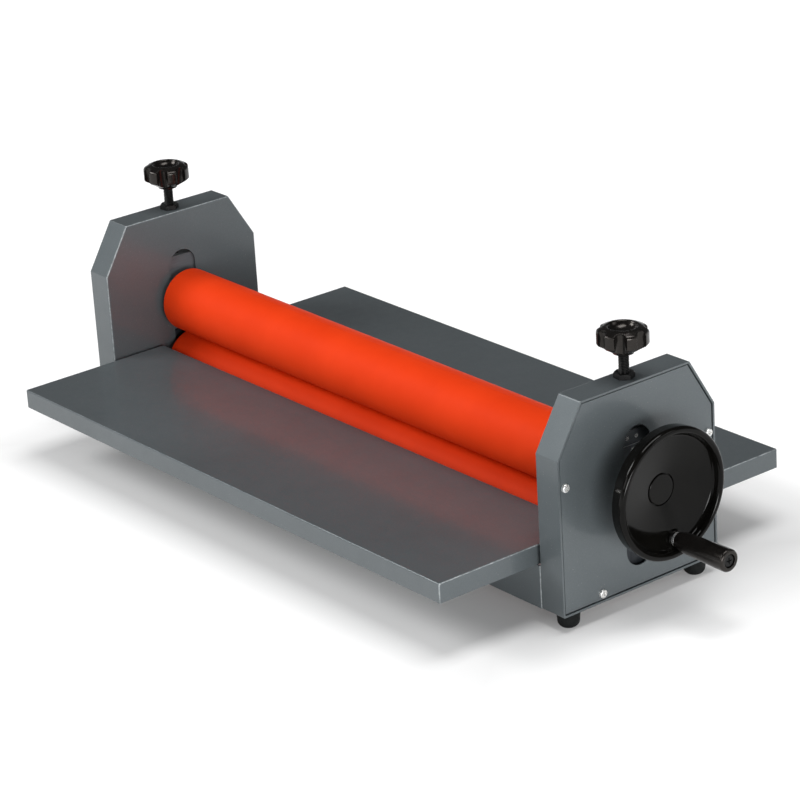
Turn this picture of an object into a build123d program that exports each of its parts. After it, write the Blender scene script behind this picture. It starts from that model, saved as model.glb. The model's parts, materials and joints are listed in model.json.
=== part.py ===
from build123d import *

import os
from math import cos, radians, sin

# Hand-cranked cold roll laminator, 650 mm class.
# X runs along the rollers with the crank at +X, the sheet travels along Y and is fed in from -Y,
# and Z is up. The origin is on the bench, midway between the side frames, under the rollers' axes.
# All lengths are in millimetres. Threads are plain cylinders at their crest diameter.

os.makedirs("parts", exist_ok=True)

# ---------------------------------------------------------------- driving dimensions
frame_gap = 666.0          # between the inner faces of the two side frames
frame_depth = 29.5         # each side frame's tray, along X
frame_width = 188.0        # along Y
frame_height = 198.5
corner_y = 29.3            # the sloping top corners
corner_z = 48.1
sheet = 2.0                # side frame sheet
foot_height = 16.0

cover_sheet = 1.5
cover_gap = 1.2            # from the cover's edge to the flange around it
cover_recess = 0.8         # from the flange's rim down to the cover's face

slot_width = 32.6          # the upright slot in each web and cover
slot_low = 21.5
slot_high = 156.5

roller_radius = 32.7
rubber_thickness = 5.0
roller_length = 652.0
tube_wall = 3.5
end_plug = 12.0
nip_gap = 0.3
lower_axis_height = 37.9   # above the side frames' bottom edge
shaft_radius = 10.0

table_sheet = 1.5
table_height = 61.0        # table top above the side frames' bottom edge
table_edge = 18.9          # its turned-down edge
table_inner_y = 35.0
table_outer_y = 205.5
table_side_gap = 4.0

wheel_radius = 62.0
grip_circle = 48.0         # the crank grip's distance from the wheel's axis
grip_angle = 9.5           # degrees from straight down, towards +Y
grip_radius = 10.6
grip_end_x = 468.0

screw_radius = 4.9         # M10 pressure screws
knob_radius = 23.5
bush_body = 7.0            # radius of their threaded bushes in the top flange

# ---------------------------------------------------------------- levels and places that follow
frame_bottom = foot_height
frame_top = frame_bottom + frame_height
web_x = frame_gap / 2
rim_x = web_x + frame_depth
screw_x = web_x + frame_depth / 2
cover_out = rim_x - cover_recess
cover_in = cover_out - cover_sheet
half_width = frame_width / 2

lower_axis = frame_bottom + lower_axis_height
upper_axis = lower_axis + 2 * roller_radius + nip_gap

table_top = frame_bottom + table_height
table_under = table_top - table_sheet
table_low = table_top - table_edge
table_half = web_x - table_side_gap

# Bearing blocks and their guides, inside each side frame
block_in = web_x + sheet + 0.3
block_out = rim_x - 7.5
block_half = 31.8
rail_clearance = 0.2
block_split = 70.2         # top of the lower block above the frame's bottom edge
upper_block_low = frame_bottom + block_split + 1.0
upper_block_high = frame_bottom + 150.0

# 6004 size ball bearing
bearing_radius = 21.0
bearing_width = 12.0
ball_circle = 15.5
ball_radius = 3.175
race_radius = 3.35
bearing_x = block_out - bearing_width / 2

# Machine screws: crest radius, and the radius of the hole that takes them
m4, m4_hole = 2.0, 2.05
m5, m5_hole = 2.5, 2.55
m6, m6_hole = 3.0, 3.05

# Cover screws, from the frame's centre line and bottom edge
cover_screw_places = [(y, frame_bottom + z) for y, z in ((86, 123.4), (-86, 123.4), (-47, 8.7))]
foot_x, foot_y = 349.0, 77.0
block_screw_x, block_screw_y = 344.0, 20.0
apron_screw_y = 82.0
apron_screw_levels = [frame_bottom + 12.0, frame_bottom + 34.0]
stud_y = 66.0
stud_columns = [-280.0, -95.0, 95.0, 280.0]

middle = (Align.CENTER, Align.CENTER, Align.CENTER)
standing = (Align.CENTER, Align.CENTER, Align.MIN)
hanging = (Align.CENTER, Align.CENTER, Align.MAX)


def write(part, name):
    """Label one finished piece and write it as a STEP file."""
    part.label = name
    export_step(part, f"parts/{name}.step")


def write_pair(right, name):
    """Write a right-hand piece and its mirror image on the left."""
    with BuildPart() as left:
        mirror(right, about=Plane.YZ)
    write(right, f"right_{name}")
    write(left.part, f"left_{name}")


def facing(x, y, z, direction):
    """A plane at a point, facing along direction."""
    return Plane(origin=(x, y, z), z_dir=direction)


def pan_screw(radius, length, head_radius, head_height):
    """A cross-recess pan-head screw with its head above the origin and its shank below."""
    recess = head_radius * 1.1
    with BuildPart() as screw:
        Cylinder(head_radius, head_height, align=standing)
        fillet(screw.edges().sort_by(Axis.Z)[-1], radius=head_height * 0.45)
        with Locations((0, 0, head_height)):
            Box(recess, head_radius * 0.24, head_height, align=middle, mode=Mode.SUBTRACT)
            Box(head_radius * 0.24, recess, head_height, align=middle, mode=Mode.SUBTRACT)
        Cylinder(radius, length, align=hanging)
    return screw.part


def hex_nut(across_flats, height, bore, turn=0.0):
    """A hexagon nut standing on the origin, its upper corners chamfered."""
    corner = across_flats / 2 / cos(radians(30))
    with BuildPart() as blank:
        Cylinder(corner, height, align=standing)
        chamfer(blank.edges().sort_by(Axis.Z)[-1], length=height * 0.22)
    with BuildPart() as nut:
        with BuildSketch():
            RegularPolygon(corner, 6, rotation=turn)
        extrude(amount=height)
        add(blank.part, mode=Mode.INTERSECT)
        Cylinder(bore, height, align=standing, mode=Mode.SUBTRACT)
    return nut.part


# ---------------------------------------------------------------- side frames
def side_outline(inset):
    """The side frame's outline in Y and Z, drawn this far inside its outer face."""
    shoulder = frame_top - corner_z
    with BuildSketch() as outline:
        with BuildLine():
            Polyline(
                (-half_width, frame_bottom),
                (half_width, frame_bottom),
                (half_width, shoulder),
                (half_width - corner_y, frame_top),
                (corner_y - half_width, frame_top),
                (-half_width, shoulder),
                close=True,
            )
        make_face()
        if inset:
            offset(amount=-inset, kind=Kind.INTERSECTION, mode=Mode.REPLACE)
    return outline.sketch


outer_outline = side_outline(0)
inner_outline = side_outline(sheet)
cover_outline = side_outline(sheet + cover_gap)


def upright_slot(mode=Mode.ADD):
    """The slot that the roller journals pass through."""
    with Locations((0, frame_bottom + (slot_low + slot_high) / 2)):
        SlotOverall(slot_high - slot_low, slot_width, rotation=90, mode=mode)


bend_radius = 1.6          # outer radius of bends in the side frames' sheet
tab_sheet = 2.0
tab_width = 14.0
weld_nut_height = 5.0
foot_screw_holes = [(foot_x, y, frame_bottom) for y in (-foot_y, foot_y)]
block_screw_holes = [(block_screw_x, y, frame_bottom) for y in (-block_screw_y, block_screw_y)]
apron_nut_places = [(y, z) for y in (-apron_screw_y, apron_screw_y) for z in apron_screw_levels]

with BuildPart() as frame_rim:
    # a strip bent round the side plate's edge
    with BuildSketch(Plane.YZ.offset(web_x)):
        add(outer_outline)
    extrude(amount=frame_depth)
    fillet(frame_rim.edges().filter_by(Axis.X), radius=bend_radius)
    fillet(frame_rim.faces().sort_by(Axis.X)[0].edges(), radius=1.5)
    with BuildSketch(Plane.YZ.offset(web_x)):
        add(inner_outline)
    extrude(amount=frame_depth, mode=Mode.SUBTRACT)
    # welded tabs behind the cover, two up the sides and one at the bottom
    with BuildSketch(Plane.YZ.offset(cover_in - tab_sheet)):
        with Locations(*cover_screw_places):
            Rectangle(tab_width, tab_width)
            Circle(m4_hole, mode=Mode.SUBTRACT)
    extrude(amount=tab_sheet)
    # weld nuts for the feet, then the holes in the top and bottom flanges
    with Locations(*[(x, y, z + sheet) for x, y, z in foot_screw_holes]):
        Cylinder(6.5, weld_nut_height, align=standing)
    with Locations(*foot_screw_holes):
        Cylinder(m6_hole, sheet + weld_nut_height, align=standing, mode=Mode.SUBTRACT)
    with Locations(*block_screw_holes):
        Cylinder(m5_hole, sheet, align=standing, mode=Mode.SUBTRACT)
    with Locations((screw_x, 0, frame_top)):
        Cylinder(bush_body + 0.1, sheet, align=hanging, mode=Mode.SUBTRACT)
write_pair(frame_rim.part, "frame_rim")

with BuildPart() as side_plate:
    # the flat plate inside the rim, flush with its inner edge
    with BuildSketch(Plane.YZ.offset(web_x)):
        add(inner_outline)
        upright_slot(Mode.SUBTRACT)
    extrude(amount=sheet)
    # weld nuts for the aprons' screws
    with BuildSketch(Plane.YZ.offset(web_x + sheet)):
        with Locations(*apron_nut_places):
            Circle(5.5)
    extrude(amount=weld_nut_height - 1)
    with BuildSketch(Plane.YZ.offset(web_x)):
        with Locations(*apron_nut_places):
            Circle(m5_hole)
    extrude(amount=sheet + weld_nut_height - 1, mode=Mode.SUBTRACT)
write_pair(side_plate.part, "side_plate")

# ---------------------------------------------------------------- covers
with BuildPart() as cover:
    with BuildSketch(Plane.YZ.offset(cover_in)):
        add(cover_outline)
        with Locations(*cover_screw_places):
            Circle(m4 + 0.2, mode=Mode.SUBTRACT)
        upright_slot(Mode.SUBTRACT)
    extrude(amount=cover_sheet)
write_pair(cover.part, "cover")

cover_screw = pan_screw(m4, 6, 4.0, 2.6)
with BuildPart() as cover_screws:
    with Locations(*[facing(cover_out, y, z, (1, 0, 0)) for y, z in cover_screw_places]):
        add(cover_screw)
    mirror(about=Plane.YZ)
write(cover_screws.part, "cover_screws")

# ---------------------------------------------------------------- guide rails
rail_face = block_half + rail_clearance
rail_lip = 4.0
rail_lip_sheet = 2.0
rail_thickness = 10.0
with BuildPart() as guide_rails:
    # each rail's lip laps over the block's outer corner and keeps the block in its guide
    lip_x = block_out + 0.3
    with BuildSketch(Plane.XY.offset(frame_bottom + 4)):
        with BuildLine():
            Polyline(
                (web_x + sheet, rail_face),
                (lip_x, rail_face),
                (lip_x, rail_face - rail_lip),
                (lip_x + rail_lip_sheet, rail_face - rail_lip),
                (lip_x + rail_lip_sheet, rail_face + rail_thickness),
                (web_x + sheet, rail_face + rail_thickness),
                close=True,
            )
        make_face()
    extrude(amount=176)
    mirror(about=Plane.XZ)
    mirror(about=Plane.YZ)
write(guide_rails.part, "guide_rails")


# ---------------------------------------------------------------- bearing blocks
plate_sheet = 1.5
plate_screw_circle = 27.0


def plate_screw_places(axis_z):
    """Three screw places round a roller axis, as Y and Z."""
    turns = [radians(a) for a in (90, 210, 330)]
    return [(plate_screw_circle * cos(a), axis_z + plate_screw_circle * sin(a)) for a in turns]


def bearing_block(axis_z, low, high):
    """A bearing block with its pocket open to the outside of the machine."""
    with BuildPart() as block:
        with BuildSketch(Plane.YZ.offset(block_in)):
            with Locations((0, (low + high) / 2)):
                Rectangle(2 * block_half, high - low)
        extrude(amount=block_out - block_in)
        chamfer(block.edges().filter_by(Axis.X), length=1.0)
        with BuildSketch(Plane.YZ.offset(block_in)):
            with Locations((0, axis_z)):
                Circle(15)
        extrude(amount=block_out - block_in, mode=Mode.SUBTRACT)
        with BuildSketch(Plane.YZ.offset(block_out)):
            with Locations((0, axis_z)):
                Circle(bearing_radius)
        extrude(amount=-bearing_width, mode=Mode.SUBTRACT)
        with BuildSketch(Plane.YZ.offset(block_out)):
            with Locations(*plate_screw_places(axis_z)):
                Circle(m4_hole)
        extrude(amount=-8, mode=Mode.SUBTRACT)
    return block.part


lower_blank = bearing_block(lower_axis, frame_bottom + sheet, frame_bottom + block_split)
with BuildPart() as lower_block:
    add(lower_blank)
    with Locations(*[(x, y, z + sheet) for x, y, z in block_screw_holes]):
        Cylinder(m5_hole, 12, align=standing, mode=Mode.SUBTRACT)
write_pair(lower_block.part, "lower_block")

# The pressure screw's tip turns in a blind hole, held by two pins that lie in its neck.
tip_bottom = upper_block_high - 15.7
neck_level = upper_block_high - 6.7
neck_radius = 3.4
pin_radius = 2.0
pin_y = neck_radius + pin_radius + 0.1
pin_in = block_in + 4
upper_blank = bearing_block(upper_axis, upper_block_low, upper_block_high)
with BuildPart() as upper_block:
    add(upper_blank)
    with Locations((screw_x, 0, upper_block_high)):
        Cylinder(screw_radius + 0.3, 16, align=hanging, mode=Mode.SUBTRACT)
    with BuildSketch(Plane.YZ.offset(block_out)):
        with Locations((-pin_y, neck_level), (pin_y, neck_level)):
            Circle(pin_radius)
    extrude(amount=pin_in - block_out, mode=Mode.SUBTRACT)
write_pair(upper_block.part, "upper_block")

with BuildPart() as capture_pins:
    with BuildSketch(Plane.YZ.offset(pin_in)):
        with Locations((-pin_y, neck_level), (pin_y, neck_level)):
            Circle(pin_radius)
    extrude(amount=block_out + 0.5 - pin_in)
    chamfer(capture_pins.faces().filter_by(Axis.X).edges(), length=0.3)
    mirror(about=Plane.YZ)
write(capture_pins.part, "capture_pins")

block_screw = pan_screw(m5, 13, 4.5, 3.0)
with BuildPart() as lower_block_screws:
    with Locations(*[facing(x, y, z, (0, 0, -1)) for x, y, z in block_screw_holes]):
        add(block_screw)
    mirror(about=Plane.YZ)
write(lower_block_screws.part, "lower_block_screws")


# ---------------------------------------------------------------- ball bearings
def roller_axis(axis_z):
    """The line of a roller's axis."""
    return Axis((0, 0, axis_z), (1, 0, 0))


def outer_ring(axis_z):
    """A bearing's outer ring with its two shields."""
    shield_sheet = 0.5
    with BuildPart() as ring:
        with BuildSketch(Plane.XZ):
            with Locations((bearing_x, axis_z + 19.2)):
                Rectangle(bearing_width, 3.6)
            with Locations((bearing_x - 5.4, axis_z + 15.8), (bearing_x + 5.4, axis_z + 15.8)):
                Rectangle(shield_sheet, 3.6)
            with Locations((bearing_x, axis_z + ball_circle)):
                Circle(race_radius, mode=Mode.SUBTRACT)
        revolve(axis=roller_axis(axis_z))
    return ring.part


def inner_ring(axis_z):
    """A bearing's inner ring, tight on the shaft."""
    with BuildPart() as ring:
        with BuildSketch(Plane.XZ):
            with Locations((bearing_x, axis_z + 11.8)):
                Rectangle(bearing_width, 3.6)
            with Locations((bearing_x, axis_z + ball_circle)):
                Circle(race_radius, mode=Mode.SUBTRACT)
        revolve(axis=roller_axis(axis_z))
    return ring.part


def balls(axis_z):
    """Nine balls in each of a roller's two bearings."""
    with BuildPart() as both:
        with Locations(facing(bearing_x, 0, axis_z, (1, 0, 0))):
            with PolarLocations(ball_circle, 9):
                Sphere(ball_radius)
        mirror(about=Plane.YZ)
    return both.part


def retaining_plates(axis_z, centre_depth):
    """The plates screwed over a roller's two blocks to hold the bearings' outer rings in.

    Their centres are sunk by centre_depth on the bearing's side: the full sheet makes a hole."""
    with BuildPart() as plates:
        with BuildSketch(Plane.YZ.offset(block_out)):
            with Locations((0, axis_z + 2.5)):
                RectangleRounded(54, 61, 3)
            with Locations(*plate_screw_places(axis_z)):
                Circle(m4 + 0.2, mode=Mode.SUBTRACT)
        extrude(amount=plate_sheet)
        with BuildSketch(Plane.YZ.offset(block_out)):
            with Locations((0, axis_z)):
                Circle(16.5)
        extrude(amount=centre_depth, mode=Mode.SUBTRACT)
        mirror(about=Plane.YZ)
    return plates.part


plate_screw = pan_screw(m4, 8, 3.5, 1.8)


def plate_screws(axis_z):
    """The three screws of each of a roller's two retaining plates."""
    seat = block_out + plate_sheet
    with BuildPart() as screws:
        with Locations(*[facing(seat, y, z, (1, 0, 0)) for y, z in plate_screw_places(axis_z)]):
            add(plate_screw)
        mirror(about=Plane.YZ)
    return screws.part


for level, height, plate_centre in (("upper", upper_axis, plate_sheet), ("lower", lower_axis, 0.6)):
    write_pair(outer_ring(height), f"{level}_bearing_outer_ring")
    write_pair(inner_ring(height), f"{level}_bearing_inner_ring")
    write(balls(height), f"{level}_bearing_balls")
    write(retaining_plates(height, plate_centre), f"{level}_retaining_plates")
    write(plate_screws(height), f"{level}_plate_screws")

# ---------------------------------------------------------------- rollers
tube_radius = roller_radius - rubber_thickness
shaft_end = block_out + 3.0       # of the upper roller, through its plates
lower_shaft_end = block_out - 0.3  # of the lower roller, behind its closed plates


def roller_sleeve(axis_z):
    """The silicone rubber sleeve, its end edges slightly rounded."""
    with BuildPart() as sleeve:
        with BuildSketch(facing(-roller_length / 2, 0, axis_z, (1, 0, 0))):
            Circle(roller_radius)
            Circle(tube_radius, mode=Mode.SUBTRACT)
        extrude(amount=roller_length)
        fillet(sleeve.edges().filter_by(GeomType.CIRCLE).group_by(SortBy.RADIUS)[-1], radius=0.8)
    return sleeve.part


def roller_tube(axis_z):
    """The steel tube with an end plug welded into each end."""
    inner = tube_radius - tube_wall
    with BuildPart() as tube:
        with BuildSketch(facing(-roller_length / 2, 0, axis_z, (1, 0, 0))):
            Circle(tube_radius)
            Circle(shaft_radius, mode=Mode.SUBTRACT)
        extrude(amount=roller_length)
        with BuildSketch(facing(end_plug - roller_length / 2, 0, axis_z, (1, 0, 0))):
            Circle(inner)
        extrude(amount=roller_length - 2 * end_plug, mode=Mode.SUBTRACT)
    return tube.part


# Crank end of the upper shaft: a smaller seat for the handwheel, with a key and a tapped hole
seat_radius = 8.0
hub_back = rim_x + 4.5
hub_bore_end = hub_back + 12.0
seat_end = hub_bore_end - 0.5
key_width = 5.0
key_low = upper_axis + 5.0
key_high = upper_axis + 10.0
key_from, key_to = hub_back + 1.0, hub_back + 11.0
bolt_radius = 4.0
bolt_depth = 20.0

with BuildPart() as upper_roller_shaft:
    with BuildSketch(facing(-shaft_end, 0, upper_axis, (1, 0, 0))):
        Circle(shaft_radius)
    extrude(amount=2 * shaft_end)
    with BuildSketch(facing(shaft_end, 0, upper_axis, (1, 0, 0))):
        Circle(seat_radius)
    extrude(amount=seat_end - shaft_end)
    chamfer(upper_roller_shaft.faces().sort_by(Axis.X)[0].edges(), length=1.0)
    with BuildSketch(facing(seat_end, 0, upper_axis, (1, 0, 0))):
        Circle(bolt_radius)
    extrude(amount=-bolt_depth, mode=Mode.SUBTRACT)
    with BuildSketch(Plane.YZ.offset(key_from)):
        with Locations((0, key_low)):
            Rectangle(key_width, key_high - key_low, align=(Align.CENTER, Align.MIN))
    extrude(amount=key_to - key_from, mode=Mode.SUBTRACT)
write(upper_roller_shaft.part, "upper_roller_shaft")

with BuildPart() as lower_roller_shaft:
    with BuildSketch(facing(-lower_shaft_end, 0, lower_axis, (1, 0, 0))):
        Circle(shaft_radius)
    extrude(amount=2 * lower_shaft_end)
    chamfer(lower_roller_shaft.faces().filter_by(Axis.X).edges(), length=1.0)
write(lower_roller_shaft.part, "lower_roller_shaft")

for level, height in (("upper", upper_axis), ("lower", lower_axis)):
    write(roller_tube(height), f"{level}_roller_tube")
    write(roller_sleeve(height), f"{level}_roller_sleeve")

# ---------------------------------------------------------------- handwheel
rim_front = rim_x + 46.0
rim_width = 15.5
cone_face = rim_x + 28.5
hub_radius = 16.5
groove_outer = 15.6        # of the shallow ring round the hub cap
hub_face = cone_face + 0.6
cap_radius = 14.4
cap_sheet = 4.0
washer_radius = 9.5
washer_sheet = 1.6
head_height = 4.4
grip_y = grip_circle * sin(radians(grip_angle))
grip_z = upper_axis - grip_circle * cos(radians(grip_angle))
boss_radius = 8.6
boss_face = rim_x + 38.0
spindle_radius = 4.0

with BuildPart() as handwheel:
    # a shallow cone running out into a rounded rim, turned about the upper roller's axis
    with BuildSketch(Plane.XZ):
        with BuildLine():
            side = Line(
                (rim_front - rim_width + 1.2, upper_axis + wheel_radius - 0.9),
                (rim_front - 4.8, upper_axis + wheel_radius),
            )
            bead = Spline(
                side @ 1,
                (rim_front, upper_axis + wheel_radius - 3.6),
                (rim_front - 2.6, upper_axis + wheel_radius - 6.8),
                tangents=(side % 1, (-1, -0.35)),
            )
            corner = (rim_front - 8.2, upper_axis + wheel_radius - 10.4)
            hub_edge = (cone_face, upper_axis + groove_outer)
            wall = Spline(
                bead @ 1,
                corner,
                tangents=((-1, -0.35), (hub_edge[0] - corner[0], hub_edge[1] - corner[1])),
            )
            dish = Line(wall @ 1, hub_edge)
            Polyline(
                dish @ 1,
                (cone_face - 1.6, upper_axis + groove_outer),
                (cone_face - 1.6, upper_axis + seat_radius),
                (hub_back, upper_axis + seat_radius),
                (hub_back, upper_axis + hub_radius),
                (cone_face - 5.5, upper_axis + hub_radius),
                (rim_front - rim_width + 2.8, upper_axis + wheel_radius - 15.0),
                (rim_front - rim_width, upper_axis + wheel_radius - 11.0),
                (rim_front - rim_width, upper_axis + wheel_radius - 2.1),
                side @ 0,
            )
        make_face()
    revolve(axis=roller_axis(upper_axis))
    # boss that carries the grip's spindle, spot-faced where it runs into the rim
    with BuildSketch(facing(rim_front - rim_width, grip_y, grip_z, (1, 0, 0))):
        Circle(boss_radius)
    extrude(amount=boss_face - rim_front + rim_width)
    with BuildSketch(facing(boss_face, grip_y, grip_z, (1, 0, 0))):
        Circle(boss_radius)
    extrude(amount=rim_front - boss_face + 1, mode=Mode.SUBTRACT)
    with BuildSketch(facing(boss_face, grip_y, grip_z, (1, 0, 0))):
        Circle(spindle_radius)
    extrude(amount=-20, mode=Mode.SUBTRACT)
    # recess for the washer and bolt head, and the seat of the cap over them
    with BuildSketch(facing(hub_bore_end, 0, upper_axis, (1, 0, 0))):
        Circle(washer_radius + 1.0)
    extrude(amount=hub_face - hub_bore_end, mode=Mode.SUBTRACT)
    with BuildSketch(facing(hub_face - cap_sheet, 0, upper_axis, (1, 0, 0))):
        Circle(cap_radius - 1.6)
    extrude(amount=cap_sheet, mode=Mode.SUBTRACT)
    with BuildSketch(Plane.YZ.offset(hub_back)):
        with Locations((0, upper_axis)):
            Rectangle(key_width, key_high - upper_axis + 0.2, align=(Align.CENTER, Align.MIN))
    extrude(amount=hub_bore_end - hub_back, mode=Mode.SUBTRACT)
write(handwheel.part, "handwheel")

with BuildPart() as handwheel_key:
    with BuildSketch(Plane.YZ.offset(key_from)):
        with Locations((0, key_low)):
            Rectangle(key_width, key_high - key_low, align=(Align.CENTER, Align.MIN))
    extrude(amount=key_to - key_from)
write(handwheel_key.part, "handwheel_key")

with BuildPart() as handwheel_bolt:
    # washer, head and thread
    with Locations(facing(hub_bore_end, 0, upper_axis, (1, 0, 0))):
        Cylinder(washer_radius, washer_sheet, align=standing)
        Cylinder(bolt_radius - 0.05, bolt_depth - 2, align=hanging)
    with BuildSketch(facing(hub_bore_end + washer_sheet, 0, upper_axis, (1, 0, 0))):
        RegularPolygon(7.5, 6)
    extrude(amount=head_height)
write(handwheel_bolt.part, "handwheel_bolt")

with BuildPart() as hub_cap:
    # a disc over the hub with a plug that presses into the recess
    with Locations(facing(hub_face - 2.0, 0, upper_axis, (1, 0, 0))):
        Cylinder(cap_radius, 2.0, align=standing)
    fillet(hub_cap.edges().sort_by(Axis.X)[-1], radius=0.9)
    with Locations(facing(hub_face - 2.0, 0, upper_axis, (1, 0, 0))):
        Cylinder(cap_radius - 1.6, cap_sheet - 2.0, align=hanging)
write(hub_cap.part, "hub_cap")

# ---------------------------------------------------------------- crank grip
ferrule_length = 3.5
grip_start = boss_face + ferrule_length + 0.3
end_recess = 6.4
end_recess_depth = 4.0
head_radius = 5.8
neck_end = rim_front + 0.8

with BuildPart() as grip_ferrule:
    with BuildSketch(facing(boss_face, grip_y, grip_z, (1, 0, 0))):
        Circle(6.6)
        Circle(spindle_radius, mode=Mode.SUBTRACT)
    extrude(amount=ferrule_length)
    chamfer(grip_ferrule.edges().filter_by(GeomType.CIRCLE).group_by(SortBy.RADIUS)[-1], length=0.6)
write(grip_ferrule.part, "grip_ferrule")

with BuildPart() as grip_spindle:
    # shank through the grip, with a cross-recess head inside the grip's end
    seat = grip_end_x - end_recess_depth + 0.3
    with Locations(facing(seat, grip_y, grip_z, (1, 0, 0))):
        Cylinder(spindle_radius, seat - boss_face + 12, align=hanging)
        Cylinder(head_radius, 2.8, align=standing)
    fillet(grip_spindle.edges().sort_by(Axis.X)[-1], radius=1.0)
    with Locations((seat + 2.8, grip_y, grip_z)):
        Box(3.2, 6.0, 1.3, align=middle, mode=Mode.SUBTRACT)
        Box(3.2, 1.3, 6.0, align=middle, mode=Mode.SUBTRACT)
write(grip_spindle.part, "grip_spindle")

with BuildPart() as crank_grip:
    # a nearly straight barrel, necked at the wheel end and turned about its own axis
    with BuildSketch(Plane.XZ.offset(-grip_y)):
        with BuildLine():
            Polyline(
                (grip_start, grip_z + spindle_radius + 0.06),
                (grip_start, grip_z + 7.2),
                (grip_start + 0.6, grip_z + 7.8),
                (neck_end, grip_z + 8.0),
                (neck_end + 1.2, grip_z + 9.2),
                (neck_end + 6.0, grip_z + 9.6),
                (grip_end_x - 10.0, grip_z + grip_radius),
                (grip_end_x, grip_z + grip_radius),
                (grip_end_x, grip_z + end_recess),
                (grip_end_x - end_recess_depth, grip_z + end_recess),
                (grip_end_x - end_recess_depth, grip_z + spindle_radius + 0.06),
                close=True,
            )
        make_face()
    revolve(axis=Axis((0, grip_y, grip_z), (1, 0, 0)))
    end_circles = crank_grip.edges().filter_by(GeomType.CIRCLE).group_by(Axis.X)[-1]
    fillet(end_circles.sort_by(SortBy.RADIUS)[-1], radius=2.2)
write(crank_grip.part, "crank_grip")

# ---------------------------------------------------------------- pressure screws and knobs
lock_nut_height = 5.0
knob_hub_low = frame_top + 23.2
knob_skirt_low = frame_top + 32.4
knob_high = frame_top + 48.4
dish_radius = 13.4
dish_depth = 6.8
insert_radius = 6.2
insert_length = 15.0
screw_top = knob_hub_low + insert_length
bush_collar = 6.0

with BuildPart() as screw_bushes:
    # threaded bush: its flange bears up against the top flange, its collar takes the lock nut
    with Locations((screw_x, 0, frame_top - sheet)):
        Cylinder(11, 4, align=hanging)
        Cylinder(bush_body, sheet, align=standing)
        Cylinder(bush_collar, sheet + lock_nut_height - 0.5, align=standing)
        Cylinder(screw_radius + 0.05, 40, align=middle, mode=Mode.SUBTRACT)
    mirror(about=Plane.YZ)
write(screw_bushes.part, "screw_bushes")

lock_nut = hex_nut(17, lock_nut_height, bush_collar + 0.02, turn=-8)
with BuildPart() as lock_nuts:
    with Locations((screw_x, 0, frame_top)):
        add(lock_nut)
    mirror(about=Plane.YZ)
write(lock_nuts.part, "lock_nuts")

with BuildPart() as pressure_screw:
    with Locations((screw_x, 0, tip_bottom)):
        Cylinder(screw_radius, screw_top - tip_bottom, align=standing)
    chamfer(pressure_screw.faces().filter_by(Axis.Z).edges(), length=0.8)
    # the neck that the two pins hold
    with BuildSketch(Plane.XY.offset(neck_level - pin_radius - 0.3)):
        with Locations((screw_x, 0)):
            Circle(screw_radius)
            Circle(neck_radius, mode=Mode.SUBTRACT)
    extrude(amount=2 * pin_radius + 0.6, mode=Mode.SUBTRACT)
write_pair(pressure_screw.part, "pressure_screw")

with BuildPart() as knob_insert:
    with BuildSketch(Plane.XY.offset(knob_hub_low)):
        with Locations((screw_x, 0)):
            Circle(insert_radius)
            Circle(screw_radius, mode=Mode.SUBTRACT)
    extrude(amount=insert_length)
write_pair(knob_insert.part, "knob_insert")

groove_count = 7
groove_radius = 5.8
groove_circle = 23.1
groove_drop = 4.6          # from the dish's lip down to the middle of a groove's rounded top
groove_lean = 12.0         # degrees, the grooves run in towards the hub as they go down
shoulder_drop = 5.8        # from the dish's lip down to where the knob's side starts


def star_knob(x, first_groove):
    """A star knob on its pressure screw at x, with one finger groove at this angle from +X."""
    with BuildPart() as body:
        # turned body: hub, coned underside, upright side, domed shoulder, lip and dish
        with BuildSketch(Plane.XZ):
            with BuildLine():
                Polyline(
                    (0, knob_high - dish_depth),
                    (0, screw_top),
                    (insert_radius, screw_top),
                    (insert_radius, knob_hub_low),
                    (9.6, knob_hub_low),
                    (10.4, knob_hub_low + 1.6),
                    (knob_radius - 1.2, knob_skirt_low - 0.6),
                    (knob_radius, knob_skirt_low + 0.8),
                    (knob_radius, knob_high - shoulder_drop),
                )
                shoulder = Spline(
                    (knob_radius, knob_high - shoulder_drop),
                    (knob_radius - 3.4, knob_high - 1.9),
                    (dish_radius + 1.0, knob_high),
                    tangents=((0, 1), (-1, 0.05)),
                )
                Spline(
                    shoulder @ 1,
                    (dish_radius - 0.8, knob_high - 1.5),
                    (0, knob_high - dish_depth),
                    tangents=((-1, 0), (-1, 0)),
                )
            make_face()
        revolve(axis=Axis.Z)
        # finger grooves with rounded tops
        with PolarLocations(groove_circle, groove_count, start_angle=first_groove):
            with Locations(Location((0, 0, knob_high - groove_drop), (0, groove_lean, 0))):
                Sphere(groove_radius, mode=Mode.SUBTRACT)
                Cylinder(groove_radius, 40, align=hanging, mode=Mode.SUBTRACT)
    with BuildPart() as knob:
        with Locations((x, 0, 0)):
            add(body.part)
    return knob.part


write(star_knob(screw_x, -47.6), "right_knob")
write(star_knob(-screw_x, -45.6), "left_knob")

# ---------------------------------------------------------------- tables
with BuildPart() as front_table:
    depth = table_outer_y - table_inner_y
    centre_y = -(table_outer_y + table_inner_y) / 2
    with BuildSketch(Plane.XY.offset(table_low)):
        with Locations((0, centre_y)):
            Rectangle(2 * table_half, depth)
    extrude(amount=table_edge)
    fillet(front_table.edges().filter_by(Axis.Z), radius=1.6)
    fillet(front_table.faces().sort_by(Axis.Z)[-1].edges(), radius=1.4)
    with BuildSketch(Plane.XY.offset(table_low)):
        with Locations((0, centre_y)):
            Rectangle(2 * (table_half - table_sheet), depth - 2 * table_sheet)
    extrude(amount=table_edge - table_sheet, mode=Mode.SUBTRACT)
    # weld studs that hang through the apron's top flange
    with Locations(*[(x, -stud_y, table_under) for x in stud_columns]):
        Cylinder(m5, 9.0, align=hanging)
write(front_table.part, "front_table")

with BuildPart() as rear_table:
    mirror(front_table.part, about=Plane.XZ)
write(rear_table.part, "rear_table")

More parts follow.
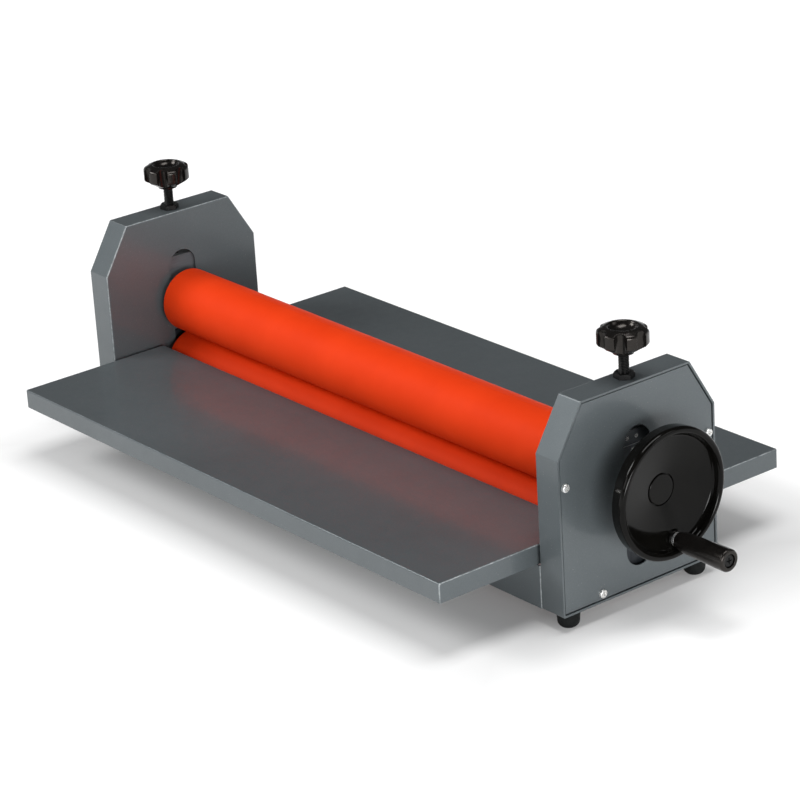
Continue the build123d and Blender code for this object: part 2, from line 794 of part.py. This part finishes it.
# ---------------------------------------------------------------- aprons
apron_sheet = 1.5
apron_shoulder = table_low - 0.4
apron_upper_half = table_half - table_sheet - 1.0
flange_depth = 24.0
top_flange_depth = 44.0
with BuildPart() as front_apron:
    # the upright panel, notched where the table's edges come down
    with BuildSketch(Plane.XZ.offset(half_width)):
        with Locations((0, frame_bottom)):
            Rectangle(frame_gap, apron_shoulder - frame_bottom, align=(Align.CENTER, Align.MIN))
            Rectangle(2 * apron_upper_half, table_under - frame_bottom, align=(Align.CENTER, Align.MIN))
    extrude(amount=-apron_sheet)
    # end flanges against the side frames, top flange under the table, and the stiffening bottom lip
    flange_height = apron_shoulder - frame_bottom
    for x, side in ((-web_x, Align.MIN), (web_x, Align.MAX)):
        with Locations((x, -half_width, frame_bottom)):
            Box(apron_sheet, flange_depth, flange_height, align=(side, Align.MIN, Align.MIN))
    with Locations((0, -half_width, table_under)):
        Box(2 * apron_upper_half, top_flange_depth, apron_sheet, align=(Align.CENTER, Align.MIN, Align.MAX))
    with Locations((0, -half_width, frame_bottom)):
        Box(frame_gap, 14, apron_sheet, align=(Align.CENTER, Align.MIN, Align.MIN))
    outer_bends = front_apron.edges().filter_by(Axis.Z).group_by(Axis.Y)[0]
    fillet(outer_bends.filter_by(lambda e: abs(e.center().X) > apron_upper_half + 1), radius=1.4)
    # holes for the end screws and the table's studs
    with BuildSketch(Plane.YZ.offset(-web_x)):
        with Locations(*[(-apron_screw_y, z) for z in apron_screw_levels]):
            Circle(m5 + 0.2)
    extrude(amount=frame_gap, mode=Mode.SUBTRACT)
    with Locations(*[(x, -stud_y, table_under) for x in stud_columns]):
        Cylinder(m5 + 0.2, apron_sheet, align=hanging, mode=Mode.SUBTRACT)
write(front_apron.part, "front_apron")

with BuildPart() as rear_apron:
    mirror(front_apron.part, about=Plane.XZ)
write(rear_apron.part, "rear_apron")

apron_screw = pan_screw(m5, 7.5, 4.5, 2.6)
with BuildPart() as apron_screws:
    seat = web_x - apron_sheet
    with Locations(*[facing(seat, -apron_screw_y, z, (-1, 0, 0)) for z in apron_screw_levels]):
        add(apron_screw)
    mirror(about=Plane.YZ)
    mirror(about=Plane.XZ)
write(apron_screws.part, "apron_screws")

table_nut = hex_nut(8, 4, m5_hole)
with BuildPart() as table_nuts:
    with Locations(*[facing(x, -stud_y, table_under - apron_sheet, (0, 0, -1)) for x in stud_columns]):
        add(table_nut)
    mirror(about=Plane.XZ)
write(table_nuts.part, "table_nuts")

# ---------------------------------------------------------------- feet
foot_screw_seat = 6.0
with BuildPart() as foot_blank:
    # a round rubber foot, slightly waisted at the top, with a sunk screw
    with BuildSketch(Plane.XZ):
        with BuildLine():
            Polyline(
                (m6_hole, foot_height),
                (10.8, foot_height),
                (10.8, foot_height - 4),
                (10.2, 5.0),
            )
            sole = TangentArc((10.2, 5.0), (7.0, 0), tangent=(-0.12, -1))
            Polyline(
                sole @ 1,
                (5.0, 0),
                (5.0, foot_screw_seat),
                (m6_hole, foot_screw_seat),
                (m6_hole, foot_height),
            )
        make_face()
    revolve(axis=Axis.Z)

for end, y in (("front", -foot_y), ("rear", foot_y)):
    for side, x in (("left", -foot_x), ("right", foot_x)):
        with BuildPart() as foot:
            with Locations((x, y, 0)):
                add(foot_blank.part)
        write(foot.part, f"{end}_{side}_foot")

foot_screw = pan_screw(m6, 16.5, 4.8, 3.4)
with BuildPart() as foot_screws:
    with Locations(*[facing(foot_x, y, foot_screw_seat, (0, 0, -1)) for y in (-foot_y, foot_y)]):
        add(foot_screw)
    mirror(about=Plane.YZ)
write(foot_screws.part, "foot_screws")
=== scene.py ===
import json
from math import cos, radians, sin, tau

import bmesh
import bpy
from mathutils import Matrix, Vector


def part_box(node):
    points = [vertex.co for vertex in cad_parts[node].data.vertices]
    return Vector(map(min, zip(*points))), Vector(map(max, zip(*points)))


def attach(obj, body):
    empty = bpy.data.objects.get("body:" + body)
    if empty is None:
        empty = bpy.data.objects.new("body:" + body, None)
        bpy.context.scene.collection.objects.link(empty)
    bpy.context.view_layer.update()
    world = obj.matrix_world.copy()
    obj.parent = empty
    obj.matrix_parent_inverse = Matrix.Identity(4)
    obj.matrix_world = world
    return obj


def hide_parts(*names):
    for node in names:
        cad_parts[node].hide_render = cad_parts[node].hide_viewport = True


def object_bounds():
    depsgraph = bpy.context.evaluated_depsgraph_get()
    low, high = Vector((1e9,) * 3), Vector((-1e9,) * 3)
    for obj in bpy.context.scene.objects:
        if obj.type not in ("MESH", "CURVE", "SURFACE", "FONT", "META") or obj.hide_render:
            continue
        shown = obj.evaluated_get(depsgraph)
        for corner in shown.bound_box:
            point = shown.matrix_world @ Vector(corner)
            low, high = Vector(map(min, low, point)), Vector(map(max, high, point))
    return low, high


# Looks for the cold roll laminator. Metres, in the CAD's frame: +X is the crank end, the sheet is
# fed in from -Y, +Z is up and the origin is on the bench under the middle of the rollers.

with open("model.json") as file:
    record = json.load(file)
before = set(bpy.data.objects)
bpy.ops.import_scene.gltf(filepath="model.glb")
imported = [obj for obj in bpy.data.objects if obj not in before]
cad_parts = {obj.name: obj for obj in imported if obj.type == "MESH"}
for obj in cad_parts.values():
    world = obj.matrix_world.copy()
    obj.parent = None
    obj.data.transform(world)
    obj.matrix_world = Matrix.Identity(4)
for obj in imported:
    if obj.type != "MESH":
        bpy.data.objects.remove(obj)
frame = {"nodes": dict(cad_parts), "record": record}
cad_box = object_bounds()
cad = frame["nodes"]
scene = bpy.context.scene

# ---------------------------------------------------------------- camera
CAMERA_AZIMUTH = radians(52.42)
CAMERA_ELEVATION = radians(21.90)
CAMERA_ROLL = radians(-3.55)
CAMERA_DISTANCE = 3.110
CAMERA_TARGET = Vector((0.0233, 0.0, 0.1024))
CAMERA_LENS = 144.9


def place_camera():
    """The camera on its long lens, in front of the machine and to its right."""
    toward = Vector((
        sin(CAMERA_AZIMUTH) * cos(CAMERA_ELEVATION),
        -cos(CAMERA_AZIMUTH) * cos(CAMERA_ELEVATION),
        sin(CAMERA_ELEVATION),
    ))
    level = Vector((cos(CAMERA_AZIMUTH), sin(CAMERA_AZIMUTH), 0.0))
    upright = toward.cross(level)
    right = cos(CAMERA_ROLL) * level + sin(CAMERA_ROLL) * upright
    up = cos(CAMERA_ROLL) * upright - sin(CAMERA_ROLL) * level
    data = bpy.data.cameras.new("camera")
    data.lens = CAMERA_LENS
    data.clip_end = 100.0
    camera = bpy.data.objects.new("camera", data)
    turn = Matrix((right, up, toward)).transposed().to_4x4()
    camera.matrix_world = Matrix.Translation(CAMERA_TARGET + toward * CAMERA_DISTANCE) @ turn
    scene.collection.objects.link(camera)
    scene.camera = camera


# ---------------------------------------------------------------- studio
FLOOR_HALF = 9.0           # half the side of the square floor
SHADED_GLOW = 0.20         # share of the floor's painted glow that is left under the machine, as painted shade there
BAND_TOP = 0.07            # sine of the elevation where the horizon's pale band starts to fade
BAND_END = 0.22            # and of the one where only the dim room is left
BAND_STRENGTH = 0.92
ROOM_STRENGTH = 0.05


def soft_light(name, place, target, size, power):
    """A white rectangular soft box aimed at a point."""
    data = bpy.data.lights.new(name, "AREA")
    data.shape = "RECTANGLE"
    data.size = size[0]
    data.size_y = size[1]
    data.energy = power
    light = bpy.data.objects.new(name, data)
    light.location = place
    light.rotation_euler = (Vector(target) - Vector(place)).to_track_quat("-Z", "Y").to_euler()
    scene.collection.objects.link(light)


def build_studio():
    """White floor, pale world and soft boxes."""
    scene.world = studio_world()
    scene.view_settings.view_transform = "Standard"

    soft_light("key", (-2.0, -2.2, 2.4), (0.0, 0.0, 0.1), (1.6, 1.2), 74.0)
    soft_light("overhead", (0.5, 0.0, 2.8), (0.1, 0.0, 0.1), (1.8, 1.2), 50.0)
    soft_light("front", (-0.3, -3.0, 1.35), (0.0, 0.0, 0.1), (1.6, 1.0), 16.0)
    soft_light("right", (2.4, 1.3, 1.5), (0.3, 0.0, 0.12), (1.2, 1.2), 9.0)
    soft_light("low_right", (2.6, -0.9, 0.35), (0.3, 0.0, 0.12), (1.4, 0.6), 40.0)

    mesh = bpy.data.meshes.new("floor")
    signs = ((-1, -1), (1, -1), (1, 1), (-1, 1))
    corners = [(x * FLOOR_HALF, y * FLOOR_HALF, 0) for x, y in signs]
    mesh.from_pydata(corners, [], [(0, 1, 2, 3)])
    floor = bpy.data.objects.new("floor", mesh)
    scene.collection.objects.link(floor)
    mesh.materials.append(floor_paper())


def studio_world():
    """A pale band round the horizon, where the sweep would be, under a dim room."""
    world = bpy.data.worlds.new("studio")
    world.use_nodes = True
    nodes = world.node_tree.nodes
    links = world.node_tree.links
    background = nodes["Background"]
    background.inputs["Color"].default_value = (0.96, 0.98, 1.0, 1.0)
    direction = nodes.new("ShaderNodeTexCoord")
    split = nodes.new("ShaderNodeSeparateXYZ")
    links.new(direction.outputs["Generated"], split.inputs["Vector"])
    fade = nodes.new("ShaderNodeMapRange")
    fade.inputs["From Min"].default_value = BAND_TOP
    fade.inputs["From Max"].default_value = BAND_END
    fade.inputs["To Min"].default_value = BAND_STRENGTH
    fade.inputs["To Max"].default_value = ROOM_STRENGTH
    links.new(split.outputs["Z"], fade.inputs["Value"])
    links.new(fade.outputs["Result"], background.inputs["Strength"])
    return world


def floor_paper():
    """White paper with a painted glow that stands in for light from a lit sweep: dimmed under the machine
    as painted shade, and more towards the far sweep.
    """
    paper = Material("floor", Roughness=0.9, Specular_IOR_Level=0.0)
    paper.shader.inputs["Base Color"].default_value = (0.64, 0.64, 0.64, 1.0)
    paper.shader.inputs["Emission Color"].default_value = (1.0, 1.0, 1.0, 1.0)
    reach_x, reach_y, _ = cad_box[1]
    from_middle = paper.node("ShaderNodeVectorMath")
    from_middle.operation = "ABSOLUTE"
    paper.link(paper.place, from_middle.inputs[0])
    outward = paper.node("ShaderNodeSeparateXYZ")
    paper.link(from_middle.outputs["Vector"], outward.inputs["Vector"])
    # painted shade: the glow drops to SHADED_GLOW over the machine's footprint, where its shadow falls
    beside = paper.spread(outward.outputs["X"], reach_x - 0.15, reach_x, SHADED_GLOW, 1.0)
    before = paper.spread(outward.outputs["Y"], reach_y - 0.08, reach_y + 0.10, SHADED_GLOW, 1.0)
    distance = paper.node("ShaderNodeVectorMath")
    distance.operation = "LENGTH"
    paper.link(paper.place, distance.inputs[0])
    sweep = paper.spread(distance.outputs["Value"], 0.7, 2.6, 0.46, 0.86)
    painted_glow = paper.math("MULTIPLY", paper.math("MAXIMUM", beside, before), sweep)
    paper.link(painted_glow, paper.shader.inputs["Emission Strength"])
    return paper.material


# ---------------------------------------------------------------- material helpers
class Material:
    """A node material on one principled shader, with shorthand for its procedural inputs."""

    def __init__(self, name, **constants):
        self.material = bpy.data.materials.new(name)
        self.material.use_nodes = True
        self.tree = self.material.node_tree
        self.shader = self.tree.nodes["Principled BSDF"]
        coordinates = self.node("ShaderNodeTexCoord")
        self.place = coordinates.outputs["Object"]
        self.facing = coordinates.outputs["Normal"]
        for socket, value in constants.items():
            self.shader.inputs[socket.replace("_", " ")].default_value = value

    def node(self, kind):
        return self.tree.nodes.new(kind)

    def link(self, source, target):
        self.tree.links.new(source, target)

    def noise(self, scale, detail=3.0, roughness=0.55, stretch=(1.0, 1.0, 1.0)):
        """Noise in metres, finer along an axis whose stretch is above one."""
        mapping = self.node("ShaderNodeMapping")
        mapping.inputs["Scale"].default_value = stretch
        texture = self.node("ShaderNodeTexNoise")
        texture.inputs["Scale"].default_value = scale
        texture.inputs["Detail"].default_value = detail
        texture.inputs["Roughness"].default_value = roughness
        self.link(self.place, mapping.inputs["Vector"])
        self.link(mapping.outputs["Vector"], texture.inputs["Vector"])
        return texture.outputs["Fac"]

    def cells(self, scale):
        """Distance to the nearest of many scattered points."""
        texture = self.node("ShaderNodeTexVoronoi")
        texture.inputs["Scale"].default_value = scale
        self.link(self.place, texture.inputs["Vector"])
        return texture.outputs["Distance"]

    def spread(self, source, low, high, at_low, at_high):
        """The range low to high of a pattern spread over at_low to at_high."""
        mapped = self.node("ShaderNodeMapRange")
        mapped.inputs["From Min"].default_value = low
        mapped.inputs["From Max"].default_value = high
        mapped.inputs["To Min"].default_value = at_low
        mapped.inputs["To Max"].default_value = at_high
        self.link(source, mapped.inputs["Value"])
        return mapped.outputs["Result"]

    def colours(self, source, stops):
        """A colour ramp over a pattern: stops are (position, (r, g, b))."""
        ramp = self.node("ShaderNodeValToRGB")
        elements = ramp.color_ramp.elements
        while len(elements) < len(stops):
            elements.new(0.5)
        for element, (position, colour) in zip(elements, stops):
            element.position = position
            element.color = (*colour, 1.0)
        self.link(source, ramp.inputs["Fac"])
        return ramp.outputs["Color"]

    def mix(self, factor, first, second):
        """Second over first where factor is one; each is a socket or a plain colour."""
        mixed = self.node("ShaderNodeMix")
        mixed.data_type = "RGBA"
        self.link(factor, mixed.inputs["Factor"])
        for name, value in (("A", first), ("B", second)):
            socket = [s for s in mixed.inputs if s.name == name and s.type == "RGBA"][0]
            if isinstance(value, tuple):
                socket.default_value = (*value, 1.0)
            else:
                self.link(value, socket)
        return [s for s in mixed.outputs if s.type == "RGBA"][0]

    def math(self, operation, first, second):
        """One math node; each value is a socket or a plain number."""
        node = self.node("ShaderNodeMath")
        node.operation = operation
        for value, socket in zip((first, second), node.inputs):
            if isinstance(value, float):
                socket.default_value = value
            else:
                self.link(value, socket)
        return node.outputs["Value"]

    def rounded_edges(self, flats, inner, outer):
        """One in the middle of a bend or rounded edge, where the surface faces none of the flat ways."""
        facing = self.node("ShaderNodeVectorMath")
        facing.operation = "ABSOLUTE"
        self.link(self.facing, facing.inputs[0])
        nearest = 0.0
        for flat in flats:
            along = self.node("ShaderNodeVectorMath")
            along.operation = "DOT_PRODUCT"
            along.inputs[1].default_value = flat
            self.link(facing.outputs["Vector"], along.inputs[0])
            nearest = self.math("MAXIMUM", along.outputs["Value"], nearest)
        return self.spread(nearest, inner, outer, 1.0, 0.0)

    def bump(self, source, height, strength=1.0, under=None):
        """A bump of this height in metres, laid over another bump."""
        node = self.node("ShaderNodeBump")
        node.inputs["Strength"].default_value = strength
        node.inputs["Distance"].default_value = height
        self.link(source, node.inputs["Height"])
        if under is not None:
            self.link(under, node.inputs["Normal"])
        return node.outputs["Normal"]

    def colour(self, socket):
        self.link(socket, self.shader.inputs["Base Color"])

    def roughness(self, socket):
        self.link(socket, self.shader.inputs["Roughness"])

    def normal(self, socket):
        self.link(socket, self.shader.inputs["Normal"])


# ---------------------------------------------------------------- materials
FRAME_SLOPE = radians(58.65)     # of the side frames' sloping corners, from level
KNOB_SOFTENING = 0.0009          # radius that rounds the knobs' edges in the shading


def frame_paint():
    """Grey-blue metallic stoved paint: sparkle under a semi-gloss skin, dust, and bends painted pale,
    partly rubbed wear and partly a painted highlight along the bends.
    """
    paint = Material(
        "frame_paint",
        Metallic=0.35,
        Specular_IOR_Level=0.25,
        Coat_Weight=0.5,
        Coat_Roughness=0.15,
    )
    cloud = paint.noise(9.0, 2.0)
    grain = paint.noise(1500.0, 3.0, 0.65)
    base = paint.colours(cloud, [(0.3, (0.082, 0.096, 0.102)), (0.7, (0.092, 0.107, 0.114))])
    speck = paint.spread(grain, 0.35, 0.70, 0.0, 0.45)
    sparkled = paint.mix(speck, base, (0.130, 0.148, 0.157))
    patchy = paint.spread(paint.noise(18.0, 4.0), 0.42, 0.62, 0.0, 1.0)
    motes = paint.spread(paint.cells(260.0), 0.05, 0.12, 1.0, 0.0)
    dust = paint.math("MULTIPLY", paint.math("MULTIPLY", motes, patchy), 0.30)
    dusty = paint.mix(dust, sparkled, (0.42, 0.43, 0.43))
    slope = (0.0, sin(FRAME_SLOPE), cos(FRAME_SLOPE))
    # bends painted pale and broken by noise: partly rubbed wear, partly a painted highlight for the
    # bright lines light draws along the bends
    bend_wear_and_highlight = paint.rounded_edges([(1, 0, 0), (0, 1, 0), (0, 0, 1), slope], 0.86, 0.97)
    broken = paint.spread(paint.noise(150.0, 5.0, 0.7), 0.36, 0.62, 0.15, 0.80)
    paint.colour(paint.mix(paint.math("MULTIPLY", bend_wear_and_highlight, broken), dusty, (0.42, 0.45, 0.46)))
    peel = paint.noise(620.0, 2.0, 0.5)
    paint.roughness(paint.spread(paint.noise(60.0, 3.0), 0.3, 0.7, 0.42, 0.50))
    fine = paint.bump(grain, 0.00003, 0.5)
    paint.normal(paint.bump(peel, 0.00005, 0.5, fine))
    return paint.material


def silicone():
    """Orange-red silicone rubber, ground round the roller, with a little dust."""
    rubber = Material("silicone", Specular_IOR_Level=0.06)
    cloud = rubber.noise(14.0, 3.0)
    base = rubber.colours(cloud, [(0.3, (0.64, 0.036, 0.004)), (0.7, (0.71, 0.044, 0.006))])
    dust = rubber.spread(rubber.cells(420.0), 0.03, 0.06, 0.20, 0.0)
    rubber.colour(rubber.mix(dust, base, (0.88, 0.22, 0.12)))
    grinding = rubber.noise(900.0, 4.0, 0.6, (1.0, 0.03, 0.03))
    rubber.roughness(rubber.spread(grinding, 0.3, 0.7, 0.50, 0.62))
    fine = rubber.bump(rubber.noise(3000.0, 2.0), 0.00001, 0.5)
    rubber.normal(rubber.bump(grinding, 0.00003, 0.6, fine))
    return rubber.material


def wheel_plastic():
    """Gloss black phenolic moulding with faint swirls and wiping marks."""
    plastic = Material("wheel_plastic", Specular_IOR_Level=0.12)
    cloud = plastic.noise(30.0, 4.0)
    swirls = [(0.3, (0.0020, 0.0019, 0.0016)), (0.75, (0.0042, 0.0039, 0.0034))]
    plastic.colour(plastic.colours(cloud, swirls))
    plastic.roughness(plastic.spread(plastic.noise(140.0, 5.0, 0.65), 0.3, 0.7, 0.06, 0.13))
    plastic.normal(plastic.bump(plastic.noise(90.0, 2.0), 0.00006, 0.5))
    return plastic.material


def knob_plastic():
    """Black moulded phenolic with softened edges and a worn half-gloss skin."""
    plastic = Material("knob_plastic", Specular_IOR_Level=0.34, Specular_Tint=(1.0, 0.92, 0.85, 1.0))
    cloud = plastic.noise(60.0, 3.0)
    blotches = [(0.3, (0.0040, 0.0036, 0.0033)), (0.7, (0.0085, 0.0076, 0.0070))]
    plastic.colour(plastic.colours(cloud, blotches))
    plastic.roughness(plastic.spread(plastic.noise(300.0, 3.0), 0.3, 0.7, 0.14, 0.26))
    softened = plastic.node("ShaderNodeBevel")
    softened.inputs["Radius"].default_value = KNOB_SOFTENING
    plastic.normal(plastic.bump(plastic.noise(2600.0, 2.0), 0.000015, 0.5, softened.outputs["Normal"]))
    return plastic.material


def zinc():
    """Bright zinc plate with faint bluish and yellowish patches."""
    metal = Material("zinc", Metallic=0.75)
    patches = metal.noise(260.0, 3.0)
    metal.colour(metal.colours(patches, [(0.25, (0.74, 0.76, 0.78)), (0.6, (0.84, 0.83, 0.80))]))
    metal.roughness(metal.spread(metal.noise(900.0, 4.0), 0.3, 0.7, 0.20, 0.36))
    metal.normal(metal.bump(metal.noise(1800.0, 3.0), 0.00001, 0.5))
    return metal.material


def black_oxide():
    """Oil-blackened steel, wearing through in small spots."""
    metal = Material("black_oxide", Metallic=0.5, Specular_IOR_Level=0.3)
    wear = metal.noise(420.0, 5.0, 0.7)
    metal.colour(metal.colours(wear, [(0.60, (0.010, 0.010, 0.010)), (0.85, (0.055, 0.052, 0.050))]))
    metal.roughness(metal.spread(metal.noise(800.0, 3.0), 0.3, 0.7, 0.26, 0.42))
    metal.normal(metal.bump(metal.noise(2200.0, 3.0), 0.00001, 0.5))
    return metal.material


def grey_block():
    """Phosphated steel of the upper blocks, with fine milling marks and a painted highlight: every upward
    face is painted pale for the glint of light on the blocks' tops.
    """
    metal = Material("grey_block", Metallic=0.4)
    milling = metal.noise(500.0, 4.0, 0.6, (1.0, 0.08, 1.0))
    skin = metal.colours(milling, [(0.3, (0.085, 0.094, 0.102)), (0.7, (0.115, 0.126, 0.136))])
    face = metal.node("ShaderNodeSeparateXYZ")
    metal.link(metal.facing, face.inputs["Vector"])
    # painted highlight: faces that point up are painted pale grey for the glint the overhead light puts
    # on the tops
    lit_top_highlight = metal.spread(face.outputs["Z"], 0.5, 0.9, 0.0, 1.0)
    metal.colour(metal.mix(lit_top_highlight, skin, (0.62, 0.63, 0.64)))
    metal.roughness(metal.spread(milling, 0.3, 0.7, 0.30, 0.46))
    metal.normal(metal.bump(milling, 0.00002, 0.5))
    return metal.material


def dark_plate_painted_shade():
    """Blackened sheet of the bearing plates and of the parts low in the slots, kept near black as painted
    shade for the shadow that fills the lower slots.
    """
    metal = Material("dark_plate_painted_shade", Metallic=0.4, Specular_IOR_Level=0.3)
    rolling = metal.noise(380.0, 4.0, 0.6, (1.0, 1.0, 0.1))
    # painted shade: near-black colour for the shadow low in the slots
    metal.colour(metal.colours(rolling, [(0.3, (0.014, 0.016, 0.019)), (0.7, (0.030, 0.034, 0.040))]))
    metal.roughness(metal.spread(rolling, 0.3, 0.7, 0.30, 0.46))
    metal.normal(metal.bump(rolling, 0.00001, 0.5))
    return metal.material


def ground_steel():
    """Turned and ground shafts, tubes and rings."""
    metal = Material("ground_steel", Metallic=1.0)
    turning = metal.noise(1500.0, 3.0, 0.6, (1.0, 0.02, 0.02))
    metal.colour(metal.colours(turning, [(0.3, (0.50, 0.50, 0.50)), (0.7, (0.66, 0.65, 0.64))]))
    metal.roughness(metal.spread(turning, 0.3, 0.7, 0.22, 0.34))
    metal.normal(metal.bump(turning, 0.00001, 0.5))
    return metal.material


def foot_rubber():
    """Matte black rubber with a little bloom."""
    rubber = Material("foot_rubber", Specular_IOR_Level=0.15)
    bloom = rubber.noise(160.0, 4.0)
    rubber.colour(rubber.colours(bloom, [(0.35, (0.004, 0.005, 0.005)), (0.8, (0.011, 0.012, 0.012))]))
    rubber.roughness(rubber.spread(rubber.noise(400.0, 3.0), 0.3, 0.7, 0.50, 0.70))
    rubber.normal(rubber.bump(rubber.noise(1600.0, 3.0), 0.00003, 0.5))
    return rubber.material


def finish_nodes():
    """Give every CAD node the material of its slot, or its own where it differs."""
    by_slot = {
        "frame_paint": frame_paint(),
        "silicone": silicone(),
        "wheel_plastic": wheel_plastic(),
        "foot_rubber": foot_rubber(),
        "black_steel": black_oxide(),
        "zinc_screws": zinc(),
        "block_steel": dark_plate_painted_shade(),
        "bright_steel": ground_steel(),
    }
    knobs = knob_plastic()
    blocks = grey_block()
    own = {
        "left_knob": knobs,
        "right_knob": knobs,
        "crank_grip": knobs,
        "left_upper_block": blocks,
        "right_upper_block": blocks,
        "upper_retaining_plates": blocks,
    }
    for subpart in frame["record"]["subparts"]:
        name = subpart["node"]
        mesh = cad[name].data
        mesh.materials.clear()
        mesh.materials.append(own.get(name) or by_slot[subpart["material_slot"]])


# ---------------------------------------------------------------- threaded pressure screws
THREAD_PITCH = 0.0015      # M10
THREAD_DEPTH = 0.00075
THREAD_FLAT = 0.12         # share of half a pitch that is flat at the crest, and the same at the root
THREAD_STEPS = 8           # rings of vertices in each pitch
THREAD_SIDES = 40
SCREW_CHAMFER = 0.0008
NECK_LOW = 0.0067          # the neck that the pins hold, above the screw's tip
NECK_HIGH = 0.0113
NECK_DEPTH = 0.0015


def thread_radius(crest, turns, from_tip, length):
    """The screw's radius at a place along it: a V thread with flats, a neck and chamfered ends."""
    wave = abs(2.0 * (turns % 1.0) - 1.0)
    sunk = min(max((wave - THREAD_FLAT) / (1.0 - 2.0 * THREAD_FLAT), 0.0), 1.0)
    radius = crest - THREAD_DEPTH * sunk
    if NECK_LOW < from_tip < NECK_HIGH:
        radius = min(radius, crest - NECK_DEPTH)
    end = min(from_tip, length - from_tip)
    return min(radius, crest - SCREW_CHAMFER + end)


def threaded_screw(node, handed_body):
    """A pressure screw with its helical thread, in the place of the plain CAD one."""
    low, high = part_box(node)
    centre_x = (low[0] + high[0]) / 2
    centre_y = (low[1] + high[1]) / 2
    crest = (high[0] - low[0]) / 2
    length = high[2] - low[2]
    rings = int(length / THREAD_PITCH * THREAD_STEPS)
    mesh = bmesh.new()
    rows = []
    for i in range(rings + 1):
        from_tip = length * i / rings
        row = []
        for j in range(THREAD_SIDES):
            turns = from_tip / THREAD_PITCH - j / THREAD_SIDES
            radius = thread_radius(crest, turns, from_tip, length)
            angle = tau * j / THREAD_SIDES
            place = (centre_x + radius * cos(angle), centre_y + radius * sin(angle), low[2] + from_tip)
            row.append(mesh.verts.new(place))
        rows.append(row)
    for below, above in zip(rows, rows[1:]):
        for j in range(THREAD_SIDES):
            k = (j + 1) % THREAD_SIDES
            mesh.faces.new((below[j], below[k], above[k], above[j])).smooth = True
    mesh.faces.new(reversed(rows[0]))
    mesh.faces.new(rows[-1])
    data = bpy.data.meshes.new(f"{node}_thread")
    mesh.to_mesh(data)
    mesh.free()
    data.materials.append(bpy.data.materials["black_oxide"])
    screw = bpy.data.objects.new(f"{node}_thread", data)
    scene.collection.objects.link(screw)
    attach(screw, handed_body)
    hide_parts(node)


place_camera()
build_studio()
finish_nodes()
# each screw's body is named after the screw
for name in ("left_pressure_screw", "right_pressure_screw"):
    threaded_screw(name, name)
